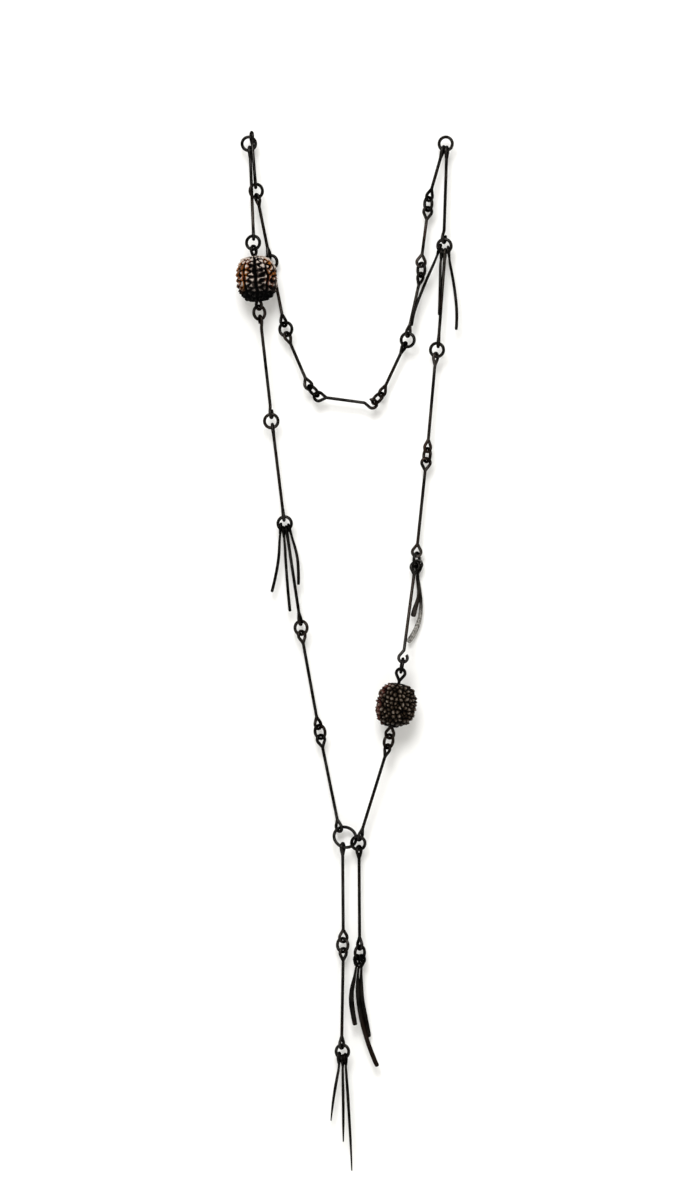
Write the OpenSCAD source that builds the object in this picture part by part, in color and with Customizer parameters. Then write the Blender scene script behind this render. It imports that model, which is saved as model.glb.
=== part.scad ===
// Lariat necklace: one closed chain of dark wire bars and jump rings, with two knobbly beads,
// a big ring at the point of the V, two hanging tails and five tassels of short wires.
// It hangs flat from its two top rings. The origin is midway between the points that hold them,
// +Z is up, +X is to the right and the front faces -Y.

/* [Wire] */
// Thickness of the wire of the bars, rings and bead pins
wire_d = 1.4; // [1.3:0.05:1.45]
// Thickness of the wire of the tassels where it forms their eyes
tassel_d = 1.1; // [1:0.05:1.15]
// Room left between two wires of the chain that hook into each other
play = 0.15; // [0.13:0.01:0.18]
// Room left between a tassel's eye and the ring that it hangs on
tassel_play = 0.12; // [0.1:0.01:0.15]

/* [Eyes] */
// Width across the outside of the teardrop eye at the end of a bar
eye_w = 5.3; // [5.1:0.1:5.4]
// Angle between the bar and each side of the teardrop, in degrees
point_angle = 33; // [31:1:35]

/* [Rings] */
// Width across the outside of a jump ring
ring_w = 7.5; // [7.3:0.1:7.7]
// Width across the outside of the big ring
big_ring_w = 11.6; // [11.4:0.1:11.8]

/* [Beads] */
// Width of the left bead
left_bead_w = 17.8; // [17.5:0.1:18.5]
// Length of the left bead along its pin
left_bead_len = 20.8; // [20:0.1:21]
// Width of the right bead
right_bead_w = 17.2; // [16.8:0.1:17.5]
// Length of the right bead along its pin
right_bead_len = 19.8; // [19:0.1:20]
// Width of the hole drilled through a bead
bead_bore = 1.8; // [1.7:0.1:2]
// Height of the nubs that cover a bead
nub_h = 0.8; // [0.5:0.1:1]
// Number of nubs round a bead
nubs_round = 28; // [24:1:28]
// Number of rows of nubs along a bead
nub_rows = 9; // [8:1:9]

/* [Hidden] */
bar_bend_r = 1.6;     // bend where a bar turns into its eye
weld_d = wire_d + 0.04; // the ball that joins two stretches of wire
weld_gap = 0.03;      // each stretch stops this far inside the ball
eye_r = (eye_w - wire_d) / 2;
ring_r = (ring_w - wire_d) / 2;
big_ring_r = (big_ring_w - wire_d) / 2;
wire_fn = 24;
turn_fn = 72;
swept_sides = 10;     // sides of a tassel wire
swept_bend = 22;      // largest bend between two of its sections, in degrees
swept_step = 6;       // longest stretch between two of them

// The two top rings stand at equal heights on both sides of the origin.
top_x = 44.3;
top_z = -2.3;

// Rings. hang is the direction that the ring is pulled in as the front shows it, from straight
// down towards +X. turn is how far it is turned about that direction: 0 shows it as a full
// circle from the front, 90 edge on.
R_NAME = 0;
R_X = 1;
R_Y = 2;
R_Z = 3;
R_HANG = 4;
R_TURN = 5;
RINGS = [
    // name             x      y         z  hang  turn
    ["left_top",     -top_x,     0,    top_z,    0,     2],
    ["left_1",       -42.29,    -7,    -47.2,    0,   -14],
    ["left_2",        -39.5,  -6.9,    -78.6,    5,    36],
    ["left_3",        -34.2,  -0.8,   -127.1,    0,     0],
    ["left_4",       -28.16,   0.2,  -173.19,    0,    -6],
    ["left_5",       -20.79,  -0.2,   -220.1,    0,   -26],
    ["left_6",       -12.25,  -0.1,  -266.95,   12,   -43],
    ["big",           -0.99,   0.1,  -314.35,   65,    31],
    ["left_tail_1",    -2.08,   0.2,   -362.9,    0,   -39],
    ["left_tail_2",     -2.2,     0,   -410.8,    0,   -22],
    ["right_top",     top_x,     0,    top_z,    0,   -13],
    ["right_1",        43.7,  -0.9,   -48.33,    0,    -7],
    ["right_2",       40.36,    -1,   -95.12,    0,   -16],
    ["right_3",       35.89,     0,   -142.4,   -5,   -62],
    ["right_4",       31.22,   2.2,  -189.43,   -3,    66],
    ["right_5",       24.49,  -8.8,  -236.98,   -9,    94],
    ["right_6",       18.55,    -5,  -271.12,  -12,    50],
    ["link",           4.94,   0.1,     -317,   65,   -14],
    ["right_tail",     5.66,   0.2,  -366.29,    0,    46],
    ["nape_1",        -40.9,  -5.6,    -23.9,    0,    24],
    ["nape_2",       -34.56,   3.4,   -55.41,    0,   -15],
    ["nape_3",       -27.66,     0,   -85.74,    0,   -25],
    ["nape_4",       -15.24,  -0.3,  -113.49,   43,   -68],
    ["nape_5",        13.71,   0.4,  -116.84,  -43,   -62],
    ["nape_6",         27.2,  -0.2,   -90.57,    0,   -15],
    ["nape_7",        33.32,  -0.1,   -59.05,    0,   -59],
    ["nape_8",        36.46,   0.3,   -29.39,    0,   -58]
];

// Bars, each from one ring to the next. hook is the side of the ring that the eye hangs from,
// from straight down towards +X. turn is the eye's own turn about the bar, as for a ring.
// 0 closes the eye at its point. Anything else leaves out the straight side that would close it,
// and is how many degrees short of that side the round part stops, or how many past it if negative.
B_NAME = 0;
B_FROM = 1;
B_TO = 5;
E_RING = 0;
E_HOOK = 1;
E_TURN = 2;
E_OPEN = 3;
BARS = [
    // name                from ring       hook turn open  to ring         hook turn open
    ["left_bar_1",        "left_top",       9,  78,  0,  "left_1",       177,  92,   0],
    ["left_bar_2",        "left_2",        10, -75,-10,  "left_3",      -179,  76,  -5],
    ["left_bar_3",        "left_3",        12,  85,  0,  "left_4",      -171,  86,   0],
    ["left_bar_4",        "left_4",        15,  86,  0,  "left_5",      -171,  75,   0],
    ["left_bar_5",        "left_5",         6,  40,  0,  "left_6",      -163,  48,   0],
    ["left_bar_6",        "left_6",         5,  29,  0,  "big",         -152, -51,   0],
    ["left_tail_bar_1",   "big",          -15,  70,  0,  "left_tail_1",  174,  29,   0],
    ["left_tail_bar_2",   "left_tail_1",    6,  42,  0,  "left_tail_2", -174,  63,   0],
    ["right_bar_1",       "right_top",      8,  76,  0,  "right_1",     -176,  67,  -5],
    ["right_bar_2",       "right_1",        4,  83,  0,  "right_2",      169,  84,   0],
    ["right_bar_3",       "right_2",      -11,  60,  0,  "right_3",      176,  45,   0],
    ["right_bar_4",       "right_3",      -11,   9,  0,  "right_4",      183,  -5,   0],
    ["right_bar_5",       "right_4",      -25, -23,  0,  "right_5",      165,  -3, -15],
    ["right_bar_6",       "right_6",       -8, -56,  0,  "link",         164,  65,   0],
    ["right_tail_bar",    "link",           5,  61,  0,  "right_tail",   182, -60,   0],
    ["nape_bar_1",        "left_top",     158, -77,  0,  "nape_1",      -173,  92,   0],
    ["nape_bar_2",        "nape_1",        11, -64,  0,  "nape_2",      -167,  73,   0],
    ["nape_bar_3",        "nape_2",        20,  65,  0,  "nape_3",      -161,  53,   0],
    ["nape_bar_4",        "nape_3",        14,  49,  0,  "nape_4",      -142,  36,   0],
    ["nape_bar_5",        "nape_4",        38,  -3,  0,  "nape_5",       -45,  -4, -10],
    ["nape_bar_6",        "nape_5",       148, -51,  0,  "nape_6",       -31, -68,   0],
    ["nape_bar_7",        "nape_6",       176, -65,  0,  "nape_7",       -13, -51,   0],
    ["nape_bar_8",        "nape_7",       184, -12,  0,  "nape_8",        -8, -22,   0],
    ["nape_bar_9",        "nape_8",       164, -48,  0,  "right_top",    -25, -77,   0]
];
PINS = [
    ["left_bead_pin",     "left_1",         5,  55,  0,  "left_2",       183, -53,   0],
    ["right_bead_pin",    "right_5",       -7,  -4,  0,  "right_6",      172, -22,   0]
];

// Wires of the tassels. lean is the direction of the wire where it leaves its eye, from
// straight down towards +X, and away is its slope towards the back. Each stretch that follows is
// [length, bend, width at its end, thickness at its end], and one with no thickness is round.
T_RING = 0;
T_HOOK = 1;
T_TURN = 2;
T_LEAN = 3;
T_AWAY = 4;
T_RUN = 5;
round_d = 1.3;        // the round wires of the two upper tassels, below their eyes
spike_d = 0.6;        // end of a spike
flat_t = 0.6;         // thickness of a hammered end
LEFT_TASSEL = [
    ["left_4", -90, 84, -5, 0.8, [[3.9, 4, round_d], [9.8, -9, round_d], [11.1, -5, round_d]]],
    ["left_4", -28, 84, 6, -0.3, [[4.6, -3, round_d], [27.2, 3, round_d]]],
    ["left_4", 76, 85, 16, -1, [[4.5, 1, round_d], [8.7, -14, round_d], [8.1, -4, round_d]]]
];
RIGHT_TASSEL = [
    ["right_1", -112, 80, -20, -1.2, [[4.4, -5, round_d], [19.4, 5, round_d], [8.8, 13, round_d]]],
    ["right_1", -40, 80, -6, -3.9, [[2, 5, round_d], [21.6, -1, round_d]]],
    ["right_1", 79, 81, 6, 0, [[3.2, 6, round_d], [15.6, -6, round_d], [12.5, -11, round_d]]]
];
SPIKE_TASSEL = [
    ["left_tail_2", -72, 73, -1, 1.1,
        [[2.3, -10, 1.2], [7, 1, 1.4], [9, 3, 1.1], [6.5, 2, spike_d]]],
    ["left_tail_2", 5, 78, 0, 0,
        [[2.6, 1, 1.2], [8, 0, 1.4], [14, -1, 1.2], [8.2, 0, spike_d]]],
    ["left_tail_2", 54, 74, 3, -1.5,
        [[2.8, 1, 1.2], [8, 0, 1.4], [22, -1, 1.2], [13.6, -1, spike_d]]]
];
BLADE_TASSEL = [
    ["right_4", 80, -19, 0, 0.5,
        [[3.5, 10, tassel_d], [10, -8, 1.5, 0.9], [9.1, -20, 2.1, 0.7], [9.1, -19, 2.5, flat_t]]],
    ["right_4", 15, -19, 0, -2,
        [[3, 10, tassel_d], [4.3, -7, 1.3, 0.9], [4.3, -23, 1.9, 0.7], [6.1, 7, 2.5, flat_t]]]
];
PADDLE_TASSEL = [
    ["right_tail", -53, -46, -8, -0.4,
        [[3, -2, 1.3, 0.9], [4.8, -3, 2, 0.7], [8.8, 20, 2.5, flat_t], [8.7, 5, 2.2, flat_t]]],
    ["right_tail", -3, -44, -6, -0.1,
        [[3, 3, 1.3, 0.9], [5, 4, 1.9, 0.7], [17.8, 14, 2, flat_t], [18.5, 9, 2.1, flat_t]]],
    ["right_tail", 50, -42, -2, 4.3,
        [[3, 1, 1.3, 0.9], [5, 1, 2, 0.7], [11.1, 11, 2.6, flat_t], [11.7, -1, 2.7, flat_t]]]
];

// Beads
left_bead_drop = 0.5;   // how far below the middle of its pin the left bead sits
right_bead_drop = 0.8;  // the same for the right bead
right_bead_side = 0.5;  // how far to the right of its own hole the right bead's middle is
bead_square = 2.2;      // 2 is an ellipse, and more is flatter at the ends
dimple_w = 4.8;         // hollow at each end of a bead, at its mouth
dimple_depth = 3;
end_w = 6;              // rim round that hollow
samples = 2;            // points across each nub

function row(table, name) = table[search([name], table)[0]];

// A vector turned by turn about Z and then swung by hang about Y.
function swing(v, hang, turn) =
    let (x = v.x * cos(turn) - v.y * sin(turn), y = v.x * sin(turn) + v.y * cos(turn))
    [x * cos(hang) - v.z * sin(hang), y, x * sin(hang) + v.z * cos(hang)];

function ring_centre(r) = [r[R_X], r[R_Y], r[R_Z]];
function radius_of(r) = r[R_NAME] == "big" ? big_ring_r : ring_r;

// The point at a reach from the middle of a ring, at a hook angle.
function from_ring(ring_name, hook, reach) =
    let (r = row(RINGS, ring_name), side = hook - r[R_HANG])
    ring_centre(r) + swing([reach * sin(side), 0, -reach * cos(side)], r[R_HANG], r[R_TURN]);

// Middle of a bar's eye.
function hook_point(name, hook) =
    from_ring(name, hook, radius_of(row(RINGS, name)) + eye_r - wire_d - play);

// Top of a tassel's eye, which rests inside the ring.
function rest_point(name, hook) =
    from_ring(name, hook, radius_of(row(RINGS, name)) - (wire_d + tassel_d) / 2 - tassel_play);

function end_of(bar_row, first) = [for (i = [0:3]) bar_row[first + i]];

// From the middle of an eye to the point of its teardrop, the straight side of the teardrop,
// and the bend into the bar.
eye_reach = eye_r / sin(point_angle);
side_len = eye_r / tan(point_angle);
bend_reach = bar_bend_r * tan(point_angle / 2);
neck = eye_reach + bend_reach;

// How far before the point of its eye a wire's free end stops. A bar's runs into the side that it
// closes on, and a tassel's just clears it.
bar_tip = 0.3;
tassel_tip = (tassel_d / 2 * (1 + cos(2 * point_angle)) + 0.06) / sin(2 * point_angle);

function arc_len(r, angle) = PI * r * abs(angle) / 180;

// The stretches of wire that form an eye, from the bar to the free end.
function eye_run(d, tip, open = 0) =
    let (round_angle = 180 + 2 * point_angle - open)
    concat(
        [
            [arc_len(bar_bend_r, point_angle), -point_angle, d],
            [side_len - bend_reach, 0, d],
            [arc_len(eye_r, round_angle), round_angle, d]
        ],
        open == 0 ? [[side_len - tip, 0, d]] : []
    );

// A stretch of round wire that starts downwards at the origin. It stops short at both ends,
// where a ball as thick as the wire joins it to the next.
module stretch(length, bend, d) {
    if (bend == 0) {
        translate([0, 0, weld_gap - length]) cylinder(h = length - 2 * weld_gap, d = d, $fn = wire_fn);
    } else {
        r = length * 180 / (PI * abs(bend));
        short = weld_gap * 180 / (PI * r);
        translate([sign(bend) * r, 0, 0])
            rotate([90, 0, 0])
                rotate([0, 0, bend > 0 ? 180 + short : bend + short])
                    rotate_extrude(angle = abs(bend) - 2 * short, $fn = turn_fn)
                        translate([r, 0]) circle(d = d, $fn = wire_fn);
    }
}

module weld() {
    sphere(d = weld_d, $fn = wire_fn);
}

// Puts its children at the end of a stretch, facing along the wire.
module after_stretch(length, bend) {
    if (bend == 0) {
        translate([0, 0, -length]) children();
    } else {
        r = sign(bend) * length * 180 / (PI * abs(bend));
        translate([r, 0, 0]) rotate([0, -bend, 0]) translate([-r, 0, 0]) children();
    }
}

// A wire bent stretch by stretch, straight down from the origin, to its free end.
module wire(run, i = 0) {
    stretch(run[i][0], run[i][1], run[i][2]);
    if (i < len(run) - 1)
        after_stretch(run[i][0], run[i][1]) {
            weld();
            wire(run, i + 1);
        }
}

module place_along(from, to) {
    d = to - from;
    translate(from)
        rotate([asin(d.y / norm(d)), -atan2(d.x, -d.z), 0])
            children();
}

// A straight wire with a teardrop eye at each end.
module bar(r) {
    top = end_of(r, B_FROM);
    low = end_of(r, B_TO);
    from = hook_point(top[E_RING], top[E_HOOK]);
    to = hook_point(low[E_RING], low[E_HOOK]);
    run = norm(to - from) - 2 * neck;
    place_along(from, to) translate([0, 0, -neck]) {
        stretch(run, 0, wire_d);
        weld();
        rotate([0, 0, top[E_TURN]]) rotate([0, 180, 0]) wire(eye_run(wire_d, bar_tip, top[E_OPEN]));
        translate([0, 0, -run]) {
            weld();
            rotate([0, 0, low[E_TURN]]) wire(eye_run(wire_d, bar_tip, low[E_OPEN]));
        }
    }
}

module ring(name) {
    r = row(RINGS, name);
    translate(ring_centre(r))
        rotate([0, -r[R_HANG], 0])
            rotate([0, 0, r[R_TURN]])
                rotate([90, 0, 0])
                    rotate_extrude($fn = turn_fn)
                        translate([radius_of(r), 0]) circle(d = wire_d, $fn = wire_fn);
}

module rings(names) {
    for (name = names) ring(name);
}

// Sections along a run that starts downwards at the origin, each as [x, z, heading, width,
// thickness].
function sections(run, at, i = 0) =
    i == len(run) ? [at] :
    let (
        length = run[i][0],
        bend = run[i][1],
        w = run[i][2],
        t = len(run[i]) > 3 ? run[i][3] : w,
        steps = max(ceil(abs(bend) / swept_bend), ceil(length / swept_step)),
        stretch = [for (k = [0:steps]) let (
            s = k / steps,
            heading = at[2] + bend * s,
            r = bend == 0 ? 0 : length * 180 / (PI * bend),
            along = bend == 0
                ? [length * s * sin(heading), -length * s * cos(heading)]
                : [r * (cos(at[2]) - cos(heading)), r * (sin(at[2]) - sin(heading))]
        ) [at[0] + along.x, at[1] + along.y, heading, at[3] + (w - at[3]) * s, at[4] + (t - at[4]) * s]]
    )
    concat([for (k = [0:steps - 1]) stretch[k]], sections(run, stretch[steps], i + 1));

// The last sections of a wire, which round its tip.
function round_tip(last) =
    let (w = last[2], t = len(last) > 3 ? last[3] : w)
    [[w / 5, 0, w * 0.85, t * 0.9], [w / 8, 0, w * 0.4, t * 0.6]];

function section_points(c, turn) = [
    for (k = [0:swept_sides - 1])
        let (
            b = 360 * k / swept_sides - turn,
            across = c[3] / 2 * cos(b)
        )
        [c[0] + across * cos(c[2]), c[4] / 2 * sin(b), c[1] + across * sin(c[2])]
];

function turned(points, turn) = [
    for (p = points) [p.x * cos(turn) - p.y * sin(turn), p.x * sin(turn) + p.y * cos(turn), p.z]
];

// Closed skin over loops of equally many points.
module skin(loops) {
    sides = len(loops[0]);
    last = (len(loops) - 1) * sides;
    walls = [
        for (j = [0:len(loops) - 2], i = [0:sides - 1])
            let (
                k = (i + 1) % sides,
                a = j * sides + i,
                b = j * sides + k
            )
            each [[a, b + sides, a + sides], [a, b, b + sides]]
    ];
    polyhedron(
        [for (l = loops) each l],
        concat(walls, [[for (i = [sides - 1:-1:0]) i], [for (i = [0:sides - 1]) last + i]])
    );
}

// One tassel wire with its eye: the free end comes first, then the eye, then the long end.
module tassel_wire(t) {
    start = [0, 0, 0, tassel_d, tassel_d];
    turn = t[T_TURN];
    eye = sections(eye_run(tassel_d, tassel_tip), start);
    eye_loops = [
        for (i = [len(eye) - 1:-1:1])
            let (upside_down = [-eye[i][0], -eye[i][1], eye[i][2], tassel_d, tassel_d])
            turned(section_points(upside_down, turn), turn)
    ];
    run = t[T_RUN];
    long_end = sections(concat(run, round_tip(run[len(run) - 1])), start);
    translate(rest_point(t[T_RING], t[T_HOOK]))
        rotate([t[T_AWAY], -t[T_LEAN], 0])
            translate([0, 0, -eye_r - neck])
                skin(concat(eye_loops, [for (c = long_end) section_points(c, 0)]));
}

module tassel(wires) {
    for (t = wires) tassel_wire(t);
}

// Outline of a bead from its lower hollow over the side to its upper hollow, as [radius,
// height], at a share s of the way.
function bead_edge(w, h, s) =
    let (
        a = -90 + 180 * s,
        c = pow(cos(a), 2 / bead_square),
        f = pow(abs(sin(a)), 2 / bead_square) * sign(a)
    )
    [end_w / 2 + (w - end_w) / 2 * c, h / 2 * f];

// A nub is highest in its middle and sinks to nothing at its edge.
function nub(column, along) =
    nub_h * (0.5 + 0.5 * cos(360 * column)) * (0.5 + 0.5 * cos(360 * along));

module bead(w, h, aside = 0) {
    around = nubs_round * samples;
    up = nub_rows * samples;
    side = [
        for (j = [0:up]) [
            for (i = [0:around - 1])
                let (
                    p = bead_edge(w - 2 * nub_h, h, j / up),
                    edge = sin(180 * j / up),
                    swell = nub(i / samples, j / samples) * min(1, 2 * edge),
                    a = 360 * i / around
                )
                [(p.x + swell) * cos(a) + aside, (p.x + swell) * sin(a), p.y]
        ]
    ];
    function circle_at(r, z) = [
        for (i = [0:around - 1]) [r * cos(360 * i / around), r * sin(360 * i / around), z]
    ];
    top = h / 2;
    loops = concat(
        [circle_at(bead_bore / 2, -top + dimple_depth), circle_at(dimple_w / 2, -top)],
        side,
        [circle_at(dimple_w / 2, top), circle_at(bead_bore / 2, top - dimple_depth)]
    );
    points = [for (l = loops) each l];
    count = len(loops);
    faces = [
        for (j = [0:count - 1], i = [0:around - 1])
            let (
                next = (j + 1) % count,
                k = (i + 1) % around,
                a = j * around + i,
                b = j * around + k,
                c = next * around + k,
                d = next * around + i
            )
            each [[a, c, b], [a, d, c]]
    ];
    polyhedron(points, faces);
}

module on_pin(name, drop) {
    r = row(PINS, name);
    from = hook_point(r[B_FROM], r[B_FROM + E_HOOK]);
    to = hook_point(r[B_TO], r[B_TO + E_HOOK]);
    place_along(from, to) translate([0, 0, -norm(to - from) / 2 - drop]) children();
}

module dark_wire() {
    color([0.16, 0.15, 0.145]) children();
}

module left_bead() {
    color([0.30, 0.21, 0.15])
        on_pin("left_bead_pin", left_bead_drop) bead(left_bead_w, left_bead_len);
}

module right_bead() {
    color([0.20, 0.15, 0.12])
        on_pin("right_bead_pin", right_bead_drop)
            bead(right_bead_w, right_bead_len, right_bead_side);
}

LEFT_CHAIN_RINGS = ["left_1", "left_2", "left_3", "left_5", "left_6"];
RIGHT_CHAIN_RINGS = ["right_2", "right_3", "right_5", "right_6"];
NAPE_RINGS = ["nape_1", "nape_2", "nape_3", "nape_4", "nape_5", "nape_6", "nape_7", "nape_8"];

dark_wire() ring("left_top");  // left_top_ring
dark_wire() ring("right_top");  // right_top_ring
dark_wire() rings(LEFT_CHAIN_RINGS);  // left_rings
dark_wire() ring("left_4");  // left_tassel_ring
dark_wire() rings(RIGHT_CHAIN_RINGS);  // right_rings
dark_wire() ring("right_1");  // right_tassel_ring
dark_wire() ring("right_4");  // blade_tassel_ring
dark_wire() rings(NAPE_RINGS);  // nape_rings
dark_wire() ring("big");  // big_ring
dark_wire() ring("link");  // link_ring
dark_wire() ring("left_tail_1");  // left_tail_ring
dark_wire() ring("left_tail_2");  // spike_tassel_ring
dark_wire() ring("right_tail");  // paddle_tassel_ring
for (r = concat(BARS, PINS))
    dark_wire() bar(r);
left_bead();
right_bead();
dark_wire() tassel(LEFT_TASSEL);  // left_tassel
dark_wire() tassel(RIGHT_TASSEL);  // right_tassel
dark_wire() tassel(SPIKE_TASSEL);  // spike_tassel
dark_wire() tassel(BLADE_TASSEL);  // blade_tassel
dark_wire() tassel(PADDLE_TASSEL);  // paddle_tassel
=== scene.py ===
import math
import random

import bpy
from mathutils import Matrix, Vector, kdtree, noise


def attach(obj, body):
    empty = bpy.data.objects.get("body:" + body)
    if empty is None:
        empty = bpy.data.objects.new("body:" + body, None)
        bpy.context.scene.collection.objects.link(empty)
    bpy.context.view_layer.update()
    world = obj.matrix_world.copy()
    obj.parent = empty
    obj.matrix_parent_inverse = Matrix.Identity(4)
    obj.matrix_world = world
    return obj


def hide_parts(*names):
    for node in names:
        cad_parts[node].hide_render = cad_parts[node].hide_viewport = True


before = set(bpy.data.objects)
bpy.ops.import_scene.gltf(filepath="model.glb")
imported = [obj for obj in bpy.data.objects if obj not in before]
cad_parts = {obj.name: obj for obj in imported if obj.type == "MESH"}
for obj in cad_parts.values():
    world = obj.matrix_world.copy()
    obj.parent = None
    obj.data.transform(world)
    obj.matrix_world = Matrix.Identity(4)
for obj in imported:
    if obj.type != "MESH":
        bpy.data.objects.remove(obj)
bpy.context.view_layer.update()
MM = 0.001


# Camera. The necklace is seen straight on, from far enough away that its depth hardly shows.
# The whole picture is 540 mm high at the necklace, and its middle is below the top rings.
camera_distance = 3.0
picture_height = 0.540
picture_middle = Vector((-4.4, 0, -207.6)) * MM

bpy.ops.object.select_all(action="DESELECT")
bpy.ops.object.camera_add(
    location=picture_middle - Vector((0, camera_distance, 0)),
    rotation=(math.radians(90), 0, 0),
)
camera = bpy.context.object
camera.name = "camera"
camera.data.lens = camera.data.sensor_width * camera_distance / picture_height
bpy.context.scene.camera = camera
bpy.context.scene.view_settings.view_transform = "Standard"


# Shader maths, as expressions: a value wraps one socket of a material, and an operator on it adds
# a Math node. Every other node comes from node().
class Value:
    def __init__(self, tree, socket=None):
        self.tree = tree
        self.socket = socket

    def node(self, kind, settings=None, inputs=None, output=0):
        """Adds a node, makes its settings, and then gives its sockets values or links."""
        made = self.tree.nodes.new(kind)
        for name, value in (settings or {}).items():
            if name == "stops":
                stops = made.color_ramp.elements
                while len(stops) < len(value):
                    stops.new(0.5)
                for stop, (place, colour) in zip(stops, value):
                    stop.position = place
                    stop.color = colour
            else:
                setattr(made, name, value)
        for name, value in (inputs or {}).items():
            if isinstance(value, Value):
                self.tree.links.new(value.socket, made.inputs[name])
            else:
                made.inputs[name].default_value = value
        return Value(self.tree, made.outputs[output])

    def maths(self, operation, *values):
        return self.node("ShaderNodeMath", {"operation": operation}, dict(enumerate(values)))

    def __add__(self, other):
        return self.maths("ADD", self, other)

    def __sub__(self, other):
        return self.maths("SUBTRACT", self, other)

    def __mul__(self, other):
        return self.maths("MULTIPLY", self, other)

    __radd__ = __add__
    __rmul__ = __mul__

    def between(self, low, high):
        """0 up to low, 1 from high, and a smooth rise between them."""
        return self.node(
            "ShaderNodeMapRange",
            {"interpolation_type": "SMOOTHSTEP"},
            {"Value": self, "From Min": low, "From Max": high},
        )

    def mix(self, first, second):
        """The first colour where this value is 0, and the second where it is 1."""
        return self.node(
            "ShaderNodeMix",
            {"data_type": "RGBA"},
            {0: self, 6: first, 7: second},
            output=2,
        )

    def noise(self, where, size, detail=2.0, roughness=0.5):
        """Cloudy noise from 0 to 1 whose lumps are about that size, in metres."""
        return self.node(
            "ShaderNodeTexNoise",
            None,
            {"Vector": where, "Scale": 1 / size, "Detail": detail, "Roughness": roughness},
        )


def new_finish(name):
    """A new material: its shader, which is still bare, and a value to start its nodes from."""
    finish = bpy.data.materials.new(name)
    finish.use_nodes = True
    shader = finish.node_tree.nodes["Principled BSDF"]
    return finish, shader, Value(finish.node_tree)


def coat(shader, start, socket, value):
    """Links a value to one of the shader's sockets."""
    start.tree.links.new(value.socket, shader.inputs[socket])


# The chain: bars and rings of round iron wire, blackened all over. The black has rubbed thin here
# and there to a warm brown-grey, most of all on the right strand and the back strand, and drawing
# and bending have left the wire slightly uneven.
iron_black = (0.006, 0.0055, 0.005, 1)
iron_grey = (0.032, 0.030, 0.028, 1)
iron_rust = (0.036, 0.024, 0.018, 1)
# Light grey for the painted highlight on a hammered-flat end.
highlight_grey = (0.36, 0.35, 0.325, 1)
rubbed_black = (0.010, 0.009, 0.008, 1)
rubbed_grey = (0.062, 0.054, 0.048, 1)
rubbed_rust = (0.075, 0.040, 0.028, 1)


def blackened_iron(name, dark, worn, rust, rough_low, rough_high, dent, highlight_below=None):
    """Blackened wire. dent is how deep the dents of its surface are, in metres.

    Below the height given as its last argument, the black gives way to a patchy light grey, which
    is a painted highlight where a hammered-flat end catches the light.
    """
    finish, shader, start = new_finish(name)
    where = start.node("ShaderNodeTexCoord", output=3)
    cloud = start.noise(where, 9 * MM, 3)
    grain = start.noise(where, 0.7 * MM, 3, 0.6)
    hollow = start.noise(where, 2.2 * MM, 2)
    rubbed = (cloud * 0.7 + grain * 0.3).between(0.42, 0.66)
    warm = start.noise(where, 23 * MM, 2).between(0.50, 0.68)
    colour = (warm * 0.35).mix(rubbed.mix(dark, worn), rust)
    # Painted highlight: below that height the black gives way to a patchy light grey.
    if highlight_below is not None:
        height = start.node("ShaderNodeSeparateXYZ", None, {"Vector": where}, output=2)
        bare = (height + (cloud - 0.5) * 6 * MM).between(highlight_below + 4 * MM, highlight_below - 4 * MM)
        colour = (bare * (0.16 + grain.between(0.38, 0.62))).mix(colour, highlight_grey)
    coat(shader, start, "Base Color", colour)
    coat(shader, start, "Roughness", rough_low + (rough_high - rough_low) * grain)
    shader.inputs["Metallic"].default_value = 1.0
    shader.inputs["Specular Tint"].default_value = (0.12, 0.11, 0.10, 1)
    bump = start.node(
        "ShaderNodeBump",
        None,
        {"Height": hollow * 0.75 + grain * 0.25, "Strength": 1.0, "Distance": dent},
    )
    coat(shader, start, "Normal", bump)
    return finish


chain_finish = blackened_iron(
    "blackened_iron", iron_black, iron_grey, iron_rust, 0.18, 0.42, 0.10 * MM
)
rubbed_finish = blackened_iron(
    "rubbed_iron", rubbed_black, rubbed_grey, rubbed_rust, 0.20, 0.46, 0.10 * MM
)
rubbed_nodes = (
    "right_bar_2",
    "right_bar_3",
    "right_bar_4",
    "nape_bar_4",
    "nape_bar_7",
    "nape_bar_8",
)
for node_name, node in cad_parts.items():
    if not node_name.endswith(("_tassel", "_bead")):
        node.data.materials.clear()
        node.data.materials.append(rubbed_finish if node_name in rubbed_nodes else chain_finish)


# The tassels' round wires: thinner iron wire, each with a teardrop eye bent at its top, which
# hangs on a jump ring. They are cut by hand, so their lengths and bends all differ. Smoothing a
# wire with 12 sides draws it in, so it starts out that much thicker.
thin_wire = 1.1 * MM
eye_radius = 1.95 * MM
neck_angle = math.radians(33)
neck_radius = 1.6 * MM
eye_side = eye_radius / math.tan(neck_angle)
neck_bend = neck_radius * math.tan(neck_angle / 2)
neck_length = eye_radius / math.sin(neck_angle) + neck_bend
eye_gap = 0.75 * MM
eye_tip = 0.3 * MM
wire_sides = 12
smooth_shrink = 0.966


def turned(vector, angle):
    """A vector turned about Y."""
    return Matrix.Rotation(angle, 3, "Y") @ vector


def round_end(place, heading, width, thickness):
    """Rounds the wire's end, which is selected, and closes it."""
    shares = ((0.20, 0.86), (0.14, 0.55))
    for length, share in shares:
        step = heading * width * length
        bpy.ops.mesh.extrude_region_move(TRANSFORM_OT_translate={"value": step})
        place = place + step
        bpy.ops.transform.resize(value=(share, share, share), center_override=place)
    bpy.ops.mesh.edge_face_add()


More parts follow.
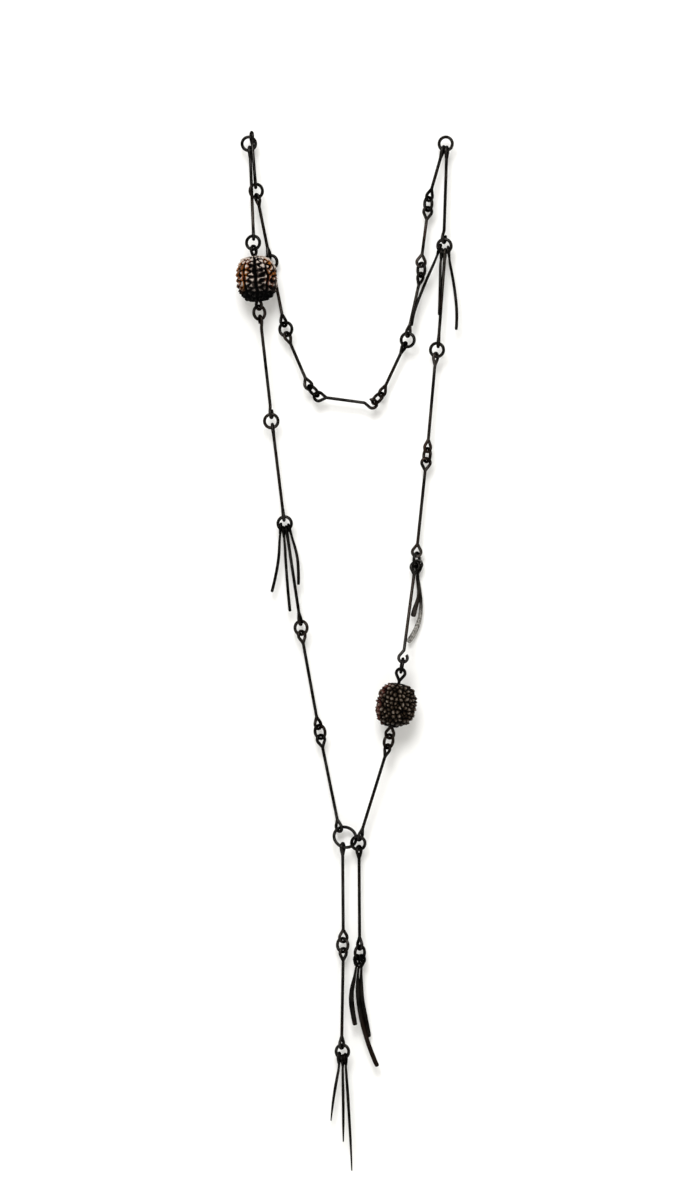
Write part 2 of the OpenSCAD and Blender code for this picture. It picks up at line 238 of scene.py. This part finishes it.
def bend_wire(name, eye_top, turn, lean, away, run, finish, dent=0.0):
    """Bends one wire of a tassel. eye_top is the top of its eye, and turn the eye's own turn.

    lean and away are the slope of its neck, sideways and to the back. Each stretch of run is
    (length, bend, width at its end, thickness at its end), in millimetres and degrees.
    """
    bpy.ops.object.select_all(action="DESELECT")
    bpy.ops.mesh.primitive_circle_add(
        vertices=wire_sides, radius=thin_wire / 2 / smooth_shrink, fill_type="NOTHING"
    )
    wire = bpy.context.object
    wire.name = name
    wire.data.name = name
    bpy.ops.object.mode_set(mode="EDIT")
    bpy.ops.mesh.select_all(action="SELECT")

    # The eye is bent upwards from the neck, in a plane of its own.
    flat = Matrix.Rotation(math.radians(turn), 3, "Z")
    place = Vector((0, 0, 0))
    heading = Vector((0, 0, 1))
    bends = (
        (neck_angle, neck_radius, eye_side - neck_bend, 4),
        (-math.pi - 2 * neck_angle, eye_radius, eye_side - eye_gap - eye_tip, 22),
    )
    for angle, radius, straight, steps in bends:
        middle = place + turned(heading, math.copysign(math.pi / 2, angle)) * radius
        bpy.ops.mesh.spin(
            steps=steps, angle=-angle, center=flat @ middle, axis=flat @ Vector((0, 1, 0))
        )
        place = middle + turned(place - middle, angle)
        heading = turned(heading, angle)
        bpy.ops.mesh.extrude_region_move(
            TRANSFORM_OT_translate={"value": flat @ (heading * straight)}
        )
        place = place + heading * straight
    round_end(flat @ place, flat @ heading, thin_wire, thin_wire)

    # The long end goes down from the neck, and is flattened or pointed as it goes.
    bpy.ops.mesh.select_all(action="DESELECT")
    bpy.ops.object.mode_set(mode="OBJECT")
    for vertex in wire.data.vertices:
        vertex.select = abs(vertex.co.z) < 1e-7
    bpy.ops.object.mode_set(mode="EDIT")
    place = Vector((0, 0, 0))
    heading = Vector((0, 0, -1))
    width, thickness = thin_wire, thin_wire
    for stretch in run:
        length, bend = stretch[0] * MM, math.radians(stretch[1])
        next_width = stretch[2] * MM
        next_thickness = (stretch[3] if len(stretch) > 3 else stretch[2]) * MM
        steps = max(math.ceil(abs(stretch[1]) / 6), math.ceil(stretch[0] / 1.6))
        for i in range(steps):
            step = turned(heading, -bend / steps / 2) * length / steps
            bpy.ops.mesh.extrude_region_move(TRANSFORM_OT_translate={"value": step})
            place = place + step
            bpy.ops.transform.rotate(
                value=bend / steps, orient_axis="Y", center_override=place
            )
            heading = turned(heading, -bend / steps)
            new_width = width + (next_width - width) / (steps - i)
            new_thickness = thickness + (next_thickness - thickness) / (steps - i)
            wider = new_width / width
            bpy.ops.transform.resize(
                value=(wider, new_thickness / thickness, wider), center_override=place
            )
            width, thickness = new_width, new_thickness
    round_end(place, heading, width, thickness)
    bpy.ops.mesh.select_all(action="SELECT")
    bpy.ops.mesh.normals_make_consistent(inside=False)
    bpy.ops.object.mode_set(mode="OBJECT")

    smooth = wire.modifiers.new("smooth", "SUBSURF")
    smooth.levels = 1
    smooth.render_levels = 1
    bpy.ops.object.modifier_apply(modifier=smooth.name)
    if dent:
        hammered = wire.modifiers.new("hammered", "DISPLACE")
        hammered.texture = hammer_marks
        hammered.texture_coords = "LOCAL"
        hammered.strength = dent
        hammered.mid_level = 0.5
        bpy.ops.object.modifier_apply(modifier=hammered.name)
    bpy.ops.object.shade_smooth()

    wire.matrix_world = (
        Matrix.Translation(Vector(eye_top) * MM)
        @ Matrix.Rotation(math.radians(-lean), 4, "Y")
        @ Matrix.Rotation(math.radians(away), 4, "X")
        @ Matrix.Translation((0, 0, -eye_radius - neck_length))
    )
    bpy.ops.object.transform_apply(location=True, rotation=True, scale=True)
    wire.data.materials.append(finish)
    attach(wire, "root")
    return wire


round_finish = blackened_iron(
    "blackened_thin_wire",
    (0.004, 0.0035, 0.003, 1),
    (0.026, 0.024, 0.022, 1),
    (0.034, 0.024, 0.018, 1),
    0.20,
    0.42,
    0.07 * MM,
)
left_tassel = (
    ((-29.83, 0.38, -173.19), 84, -5, 0.8, ((3.9, 4, 1.3), (9.8, -9, 1.4), (11.1, -5, 1.4))),
    ((-28.94, 0.28, -174.67), 84, 6, -0.3, ((4.6, -3, 1.3), (27.2, 3, 1.4))),
    ((-26.54, 0.03, -173.60), 85, 16, -1, ((4.5, 1, 1.3), (8.7, -14, 1.4), (8.1, -4, 1.4))),
)
right_tassel = (
    ((42.15, -0.71, -47.70), 80, -20, -1.2, ((4.4, -5, 1.3), (19.4, 5, 1.4), (8.8, 13, 1.4))),
    ((42.63, -0.77, -49.62), 80, -6, -3.9, ((2, 5, 1.3), (21.6, -1, 1.3))),
    ((45.34, -1.10, -48.65), 81, 6, 0, ((3.2, 6, 1.3), (15.6, -6, 1.4), (12.5, -11, 1.4))),
)
for node_name, wires in (("left_tassel", left_tassel), ("right_tassel", right_tassel)):
    for number, (place, turn, lean, away, run) in enumerate(wires, 1):
        wire = bend_wire(f"{node_name}_wire_{number}", place, turn, lean, away, run, round_finish)
        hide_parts(node_name)


# The spikes on the left tail: the same wire, filed down to a long point.
spikes = (
    (
        (-3.68, 0.60, -411.32), 73, -1, 1.1,
        ((2.3, -10, 1.2), (7, 1, 1.4), (9, 3, 1.1), (6.5, 2, 0.6)),
    ),
    (
        (-2.06, -0.05, -412.47), 78, 0, 0,
        ((2.6, 1, 1.2), (8, 0, 1.4), (14, -1, 1.2), (8.2, 0, 0.6)),
    ),
    (
        (-0.94, -0.51, -411.79), 74, 3, -1.5,
        ((2.8, 1, 1.2), (8, 0, 1.4), (22, -1, 1.2), (13.6, -1, 0.6)),
    ),
)
for number, (place, turn, lean, away, run) in enumerate(spikes, 1):
    spike = bend_wire(f"spike_{number}", place, turn, lean, away, run, round_finish)
    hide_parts("spike_tassel")


# The blades and paddles: wires whose ends were hammered flat, so they widen and carry the dents
# of the hammer. The paddles are the blackest part of the necklace, and the end of the long blade
# is painted a patchy light grey, a painted highlight where its flat end catches the light.
hammer_marks = bpy.data.textures.new("hammer_marks", "CLOUDS")
hammer_marks.noise_scale = 1.7 * MM
hammer_marks.noise_depth = 1
blade_finish = blackened_iron(
    "hammered_iron",
    (0.006, 0.0055, 0.005, 1),
    (0.050, 0.046, 0.042, 1),
    (0.040, 0.028, 0.020, 1),
    0.22,
    0.44,
    0.12 * MM,
)
# The long blade, with a painted highlight on its flattened end.
highlit_blade_finish = blackened_iron(
    "hammered_iron_painted_highlight",
    (0.006, 0.0055, 0.005, 1),
    (0.080, 0.075, 0.070, 1),
    (0.050, 0.035, 0.026, 1),
    0.26,
    0.48,
    0.14 * MM,
    highlight_below=-212 * MM,
)
paddle_finish = blackened_iron(
    "black_hammered_iron",
    (0.003, 0.003, 0.003, 1),
    (0.016, 0.014, 0.012, 1),
    (0.030, 0.016, 0.011, 1),
    0.26,
    0.50,
    0.14 * MM,
)
blades = (
    (
        (31.89, 3.72, -189.67), -19, 0, 0.5,
        ((3.5, 10, 1.1), (10, -8, 1.5, 0.9), (9.1, -20, 2.1, 0.7), (9.1, -19, 2.5, 0.6)),
    ),
    (
        (31.35, 2.67, -191.04), -19, 0, -2,
        ((3, 10, 1.1), (4.3, -7, 1.3, 0.9), (4.3, -23, 1.9, 0.7), (6.1, 7, 2.5, 0.6)),
    ),
)
paddles = (
    (
        (4.73, -0.77, -367.30), -46, -8, -0.4,
        ((3, -2, 1.3, 0.9), (4.8, -3, 2, 0.7), (8.8, 20, 2.5, 0.6), (8.7, 5, 2.2, 0.6)),
    ),
    (
        (5.60, 0.14, -367.97), -44, -6, -0.1,
        ((3, 3, 1.3, 0.9), (5, 4, 1.9, 0.7), (17.8, 14, 2, 0.6), (18.5, 9, 2.1, 0.6)),
    ),
    (
        (6.55, 1.13, -367.37), -42, -2, 4.3,
        ((3, 1, 1.3, 0.9), (5, 1, 2, 0.7), (11.1, 11, 2.6, 0.6), (11.7, -1, 2.7, 0.6)),
    ),
)
for word, node_name, wires, finishes in (
    ("blade", "blade_tassel", blades, (highlit_blade_finish, blade_finish)),
    ("paddle", "paddle_tassel", paddles, (paddle_finish, paddle_finish, paddle_finish)),
):
    for number, (place, turn, lean, away, run) in enumerate(wires, 1):
        finish = finishes[number - 1]
        flat_wire = bend_wire(
            f"{word}_{number}", place, turn, lean, away, run, finish, dent=0.12 * MM
        )
        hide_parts(node_name)


# The left bead: a large dried seed. Deep furrows run from its top hole to its bottom hole, and
# between them its skin stands up in rows of small V-shaped nubs.
bead_columns = 256
bead_rows = 176
hole_radius = 0.9 * MM
mouth_radius = 2.3 * MM
mouth_depth = 3.0 * MM


def bead_outline(width, length, square):
    """Radius and height of a bead's bare side, at 400 equal steps of the way up it."""
    start = math.asin((2 * mouth_radius / width) ** (square / 2))
    fine = []
    for i in range(1601):
        angle = (start - math.pi / 2) * (1 - i / 800)
        radius = width / 2 * math.cos(angle) ** (2 / square)
        rise = abs(math.sin(angle)) ** (2 / square)
        fine.append((radius, math.copysign(length / 2 * rise, angle)))
    lengths = [0.0]
    for here, there in zip(fine, fine[1:]):
        lengths.append(lengths[-1] + math.dist(here, there))
    outline = []
    k = 0
    for i in range(401):
        goal = lengths[-1] * i / 400
        while k < 1599 and lengths[k + 1] < goal:
            k += 1
        part = (goal - lengths[k]) / (lengths[k + 1] - lengths[k])
        outline.append(tuple(a + (b - a) * part for a, b in zip(fine[k], fine[k + 1])))
    return outline


def on_outline(outline, share):
    """Radius and height at a share of the way up an outline."""
    i = min(int(share * 400), 399)
    part = share * 400 - i
    return tuple(a + (b - a) * part for a, b in zip(outline[i], outline[i + 1]))


def roll_bead(name, outline, relief, aside=0.0):
    """Rolls a grid into a bead that stands on its own axis, with a hole from end to end.

    aside is how far the bead's middle lies beside its hole. Only the hole is moved for it.
    relief gives, for an angle and a share of the way up, how far the skin stands out, a tone from
    0 in the deepest furrow to 1 on the tips, and how stained the skin is.
    """
    bpy.ops.object.select_all(action="DESELECT")
    bpy.ops.mesh.primitive_grid_add(x_subdivisions=bead_columns, y_subdivisions=bead_rows, size=1)
    bead = bpy.context.object
    bead.name = name
    bead.data.name = name
    tones, stains = [], []
    inner = 14
    outer = bead_rows - inner
    top = outline[-1][1]
    hole = (
        (0.0, mouth_radius, top),
        (0.3, hole_radius, top - mouth_depth),
        (0.7, hole_radius, mouth_depth - top),
        (1.0, mouth_radius, -top),
    )
    for vertex in bead.data.vertices:
        angle = 2 * math.pi * (vertex.co.x + 0.5)
        row = round((vertex.co.y + 0.5) * bead_rows)
        shift = 0.0
        if row <= outer:
            share = row / outer
            radius, height = on_outline(outline, share)
            stand, tone, stain = relief(angle, share)
            edge = min(1.0, 12 * share, 12 * (1 - share))
            radius += stand * edge
            height *= 1 + stand * edge / (2 * top)
        else:
            share = (row - outer) / inner
            for (s0, r0, h0), (s1, r1, h1) in zip(hole, hole[1:]):
                if s0 <= share <= s1:
                    part = (share - s0) / (s1 - s0)
                    radius = r0 + (r1 - r0) * part
                    height = h0 + (h1 - h0) * part
            tone, stain = 0.0, 0.0
            shift = -aside * min(1.0, share / 0.3, (1 - share) / 0.3)
        vertex.co = (radius * math.sin(angle) + shift, -radius * math.cos(angle), height)
        tones.append(tone)
        stains.append(stain)
    for layer_name, values in (("tone", tones), ("stain", stains)):
        layer = bead.data.attributes.new(layer_name, "FLOAT", "POINT")
        layer.data.foreach_set("value", values)
    bpy.ops.object.mode_set(mode="EDIT")
    bpy.ops.mesh.select_all(action="SELECT")
    bpy.ops.mesh.remove_doubles(threshold=1e-6)
    bpy.ops.mesh.normals_make_consistent(inside=False)
    bpy.ops.object.mode_set(mode="OBJECT")
    bpy.ops.object.shade_smooth()
    return bead


def thread_on_pin(bead, top, bottom, drop, aside=0.0):
    """Moves a bead onto its pin, whose two ends are given in millimetres."""
    top, bottom = Vector(top) * MM, Vector(bottom) * MM
    along = (bottom - top).normalized()
    right = Vector((0, 1, 0)).cross(along).normalized() * -1
    back = along.cross(right) * -1
    middle = (top + bottom) / 2 + along * drop + right * aside
    axes = Matrix((right, back, -along)).transposed().to_4x4()
    bead.matrix_world = Matrix.Translation(middle) @ axes
    bpy.ops.object.select_all(action="DESELECT")
    bead.select_set(True)
    bpy.context.view_layer.objects.active = bead
    bpy.ops.object.transform_apply(location=True, rotation=True, scale=True)


def wrapped(value):
    """The distance from the nearest whole number, from -0.5 to 0.5."""
    return value - round(value)


left_columns = 20
left_rows = 10.5
left_nub = 1.15 * MM
furrow_angle = math.radians(-2)


def near(value, middle, width):
    """1 where a value is at the middle, falling to 0 within about twice that width."""
    return math.exp(-(((value - middle) / width) ** 2))


def left_relief(angle, share):
    round_x, round_y = math.cos(angle), math.sin(angle)
    sway = noise.noise(Vector((2 * round_x + 7, 2 * round_y, 6 * share)))
    wiggle = noise.noise(Vector((6 * round_x, 6 * round_y + 5, 9 * share)))
    turn = (angle - furrow_angle) / (2 * math.pi)
    column = turn * left_columns + 0.5 + 0.25 * sway + 0.35 * wiggle
    across = wrapped(column)
    number = round(column) % left_columns
    facing = 1 if number % 2 else -1
    slide = noise.noise(Vector((number * 3.7, 0.5, 0.0)))
    row = share * left_rows + 0.5 * (number // 2 % 2) + 0.6 * slide + 0.25 * sway
    along = wrapped(row)
    row_number = round(row)
    odd = noise.noise(Vector((number * 1.9, row_number * 2.3, 4.0)))
    lean = noise.noise(Vector((number * 2.9, row_number * 1.7, 9.0)))
    side = facing * across
    end = abs(along + 1.3 * lean * across)
    wedge = max(-1.35 * side, 0.60 * side + 0.95 * end, 0.75 * end - 0.45 * side)
    tip = max(0.0, 1 - wedge / (0.48 * (1 + 0.6 * odd)))
    ridge = (0.80 + 0.6 * odd) * max(0.0, 1 - end / 0.15) * min(1.0, max(0.0, 5 * side))
    tip = max(tip, ridge)
    furrow = near(wrapped(turn * 2 + 0.02 * sway), 0, 0.026)
    tip *= 1 - 0.9 * furrow
    patch = noise.noise(Vector((1.5 * round_x, 1.5 * round_y + 3, 3.0 * share)))
    bare = near(wrapped(turn), 0.01, 0.065) + near(share, 0.0, 0.26) + 0.7 * near(share, 1.0, 0.10)
    fleck = noise.noise(Vector((7 * round_x, 7 * round_y, 14 * share)))
    stained = max(0.0, 0.72 + 0.9 * patch + 0.5 * fleck - bare - 0.2 * max(0.0, round_y))
    # The tone is highest on the tips, where it gives the pale colour that is partly painted
    # highlight.
    pale_tip_and_highlight = tip * (1 + 0.8 * noise.noise(Vector((number * 5.1, row_number * 3.3, 2.0))))
    # Paler still near the top of the bead: painted light from above.
    pale_tip_and_highlight *= 1 + 1.4 * near(share, 0.95, 0.14)
    return left_nub * (tip ** 0.8 * (1 + 0.3 * odd) - 0.45 * furrow - 0.5), pale_tip_and_highlight, stained


def seed_skin(
    name, furrow, side, tip, stain, red_stain, highlight_from, highlight_to, gloss, shadow_low, shadow_high
):
    """The skin of a seed: black in its furrows, stained on its sides and pale on its tips, where
    the pale is partly painted highlight. Towards its bottom it is painted black, which is painted
    shade.
    """
    finish, shader, start = new_finish(name)
    where = start.node("ShaderNodeTexCoord", output=3)
    tone = start.node("ShaderNodeAttribute", {"attribute_name": "tone"}, output=2)
    stained = start.node("ShaderNodeAttribute", {"attribute_name": "stain"}, output=2)
    grain = start.noise(where, 0.6 * MM, 3, 0.6)
    height = start.node("ShaderNodeSeparateXYZ", None, {"Vector": where}, output=2)
    # Painted shade: the skin turns black towards the bottom of the bead, from shadow_high down to
    # shadow_low.
    low = (height + (grain - 0.5) * 1.5 * MM).between(shadow_high, shadow_low)
    redder = start.noise(where, 5 * MM, 2).between(0.45, 0.65)
    stain = redder.mix(stain, red_stain)
    body = (stained + (grain - 0.5) * 0.4).between(0.25, 0.85).mix(side, stain)
    body = (tone + (grain - 0.5) * 0.2).between(0.08, 0.42).mix(furrow, body)
    # The pale tip colour, partly the seed's own pale tips and partly painted highlight, with a
    # glossy coat over the same band.
    pale_tip_and_highlight = (tone + (grain - 0.5) * 0.4).between(highlight_from, highlight_to)
    skin = pale_tip_and_highlight.mix(body, tip)
    skin = (low * 0.99).mix(skin, (0.002, 0.002, 0.002, 1))
    coat(shader, start, "Base Color", skin)
    shader.inputs["Roughness"].default_value = 0.75
    shader.inputs["Specular IOR Level"].default_value = 0.01
    coat(shader, start, "Coat Weight", pale_tip_and_highlight * gloss)
    shader.inputs["Coat Roughness"].default_value = 0.28
    bump = start.node(
        "ShaderNodeBump", None, {"Height": grain, "Strength": 0.8, "Distance": 0.15 * MM}
    )
    coat(shader, start, "Normal", bump)
    return finish


left_outline = bead_outline(17.8 * MM, 20.8 * MM, 2.45)
left_bead = roll_bead("left_seed_bead", left_outline, left_relief)
thread_on_pin(left_bead, (-42.00, -7.07, -50.64), (-39.70, -6.83, -75.16), 0.5 * MM)
left_bead.data.materials.append(
    seed_skin(
        "orange_seed_skin",
        (0.0008, 0.0008, 0.0008, 1),
        (0.042, 0.031, 0.026, 1),
        (0.48, 0.41, 0.36, 1),
        (0.27, 0.088, 0.012, 1),
        (0.20, 0.064, 0.034, 1),
        0.50,
        0.80,
        0.05,
        -71.0 * MM,
        -63.0 * MM,
    )
)
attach(left_bead, "root")
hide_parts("left_bead")


# The right bead: a darker seed of the same kind, covered with rounder nubs that crowd together. It
# is a little lopsided, and narrower at its lower right.
right_nub = 1.6 * MM
right_spacing = 2.1
right_aside = 0.5 * MM
right_outline = bead_outline(17.2 * MM, 19.8 * MM, 2.7)
random.seed(11)
nub_places = []
for row in range(13):
    share = (row + 0.5) / 13
    ring_radius, ring_height = on_outline(right_outline, share)
    ring_radius, ring_height = ring_radius / MM, ring_height / MM
    count = max(6, round(2 * math.pi * ring_radius / right_spacing))
    for i in range(count):
        angle = 2 * math.pi * (i + 0.5 * (row % 2) + random.uniform(-0.45, 0.45)) / count
        tall = random.uniform(0.55, 1.05)
        slant = random.uniform(0, math.pi)
        rise = ring_height + random.uniform(-0.9, 0.9)
        nub_places.append((ring_radius, angle, rise, tall, slant))
nubs = kdtree.KDTree(len(nub_places))
for i, (radius, angle, height, tall, slant) in enumerate(nub_places):
    nubs.insert((radius * math.sin(angle), -radius * math.cos(angle), height), i)
nubs.balance()


def right_relief(angle, share):
    radius, height = on_outline(right_outline, share)
    radius, height = radius / MM, height / MM
    point = Vector((radius * math.sin(angle), -radius * math.cos(angle), height))
    (_, first, reach), (_, _, next_reach) = nubs.find_n(point, 2)
    _, nub_angle, nub_height, tall, slant = nub_places[first]
    over = wrapped((angle - nub_angle) / (2 * math.pi)) * 2 * math.pi * radius
    rise = height - nub_height
    along = over * math.cos(slant) + rise * math.sin(slant)
    across = rise * math.cos(slant) - over * math.sin(slant)
    crest = max(0.0, 1 - abs(along) / 2.4 - abs(across) / 1.0)
    crease = min(1.0, (next_reach - reach) / 1.1)
    # The tone is highest on each nub's crest, where its pale colour is a painted highlight.
    tip = tall * crease ** 0.8 * (0.40 + 0.60 * crest ** 0.8)
    trimmed = 1.5 * near(share, 0.0, 0.22) * max(0.0, math.cos(angle - math.radians(60)))
    stained = near(wrapped((angle + math.radians(70)) / (2 * math.pi)), 0, 0.07)
    stained = stained + 0.6 * noise.noise(point * 0.22 + Vector((3, 0, 0)))
    return right_nub * (tip - 0.4) - trimmed * MM, tip, stained


right_bead = roll_bead("right_seed_bead", right_outline, right_relief, right_aside)
thread_on_pin(
    right_bead, (23.94, -8.68, -240.38), (19.11, -5.18, -267.72), 0.8 * MM, right_aside
)
# The dark seed's pale tip colour is a painted highlight on its nub crests.
right_bead.data.materials.append(
    seed_skin(
        "dark_seed_skin",
        (0.0006, 0.0006, 0.0006, 1),
        (0.020, 0.013, 0.008, 1),
        (0.150, 0.116, 0.088, 1),
        (0.075, 0.020, 0.016, 1),
        (0.055, 0.028, 0.018, 1),
        0.38,
        1.00,
        1.0,
        -266.0 * MM,
        -259.0 * MM,
    )
)
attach(right_bead, "root")
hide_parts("right_bead")


# The studio: a white backdrop close behind the necklace, which its soft shadows fall on, and a
# pale floor below it. The backdrop lets a view from behind through.
backdrop_y = 7.5 * MM
floor_z = -500 * MM
white, white_shader, start = new_finish("white_backdrop")
white_shader.inputs["Base Color"].default_value = (0.9, 0.9, 0.89, 1)
white_shader.inputs["Roughness"].default_value = 0.9
behind = start.node("ShaderNodeNewGeometry", output=6)
clear = start.node("ShaderNodeBsdfTransparent")
shown = start.node(
    "ShaderNodeMixShader",
    None,
    {0: behind, 1: Value(start.tree, white_shader.outputs[0]), 2: clear},
)
start.tree.links.new(
    shown.socket, start.tree.nodes["Material Output"].inputs["Surface"]
)
pale, pale_shader, start = new_finish("pale_floor")
pale_shader.inputs["Base Color"].default_value = (0.8, 0.8, 0.79, 1)
pale_shader.inputs["Roughness"].default_value = 0.8

bpy.ops.object.select_all(action="DESELECT")
bpy.ops.mesh.primitive_plane_add(size=1, rotation=(math.radians(90), 0, 0))
backdrop = bpy.context.object
backdrop.name = "backdrop"
backdrop.scale = (2.4, 1.4, 1)
backdrop.location = (0, backdrop_y, floor_z + 0.7)
bpy.ops.object.transform_apply(location=True, rotation=True, scale=True)
backdrop.data.materials.append(white)
bpy.ops.object.select_all(action="DESELECT")
bpy.ops.mesh.primitive_plane_add(size=6, location=(0, 0, floor_z))
floor = bpy.context.object
floor.name = "floor"
bpy.ops.object.transform_apply(location=True, rotation=True, scale=True)
floor.data.materials.append(pale)

world = bpy.data.worlds.new("studio")
world.use_nodes = True
world.node_tree.nodes["Background"].inputs["Color"].default_value = (1, 0.96, 0.90, 1)
world.node_tree.nodes["Background"].inputs["Strength"].default_value = 0.42
bpy.context.scene.world = world


def soft_light(name, place, size, power):
    """A square soft box that faces the middle of the necklace."""
    bpy.ops.object.select_all(action="DESELECT")
    facing = (Vector((0, 0, -0.2)) - Vector(place)).to_track_quat("-Z", "Y")
    bpy.ops.object.light_add(type="AREA", location=place, rotation=facing.to_euler())
    light = bpy.context.object
    light.name = name
    light.data.size = size
    light.data.energy = power


soft_light("key", (-0.28, -2.5, 1.25), 1.1, 60)
soft_light("sky", (-0.1, -1.8, 2.4), 2.4, 18)
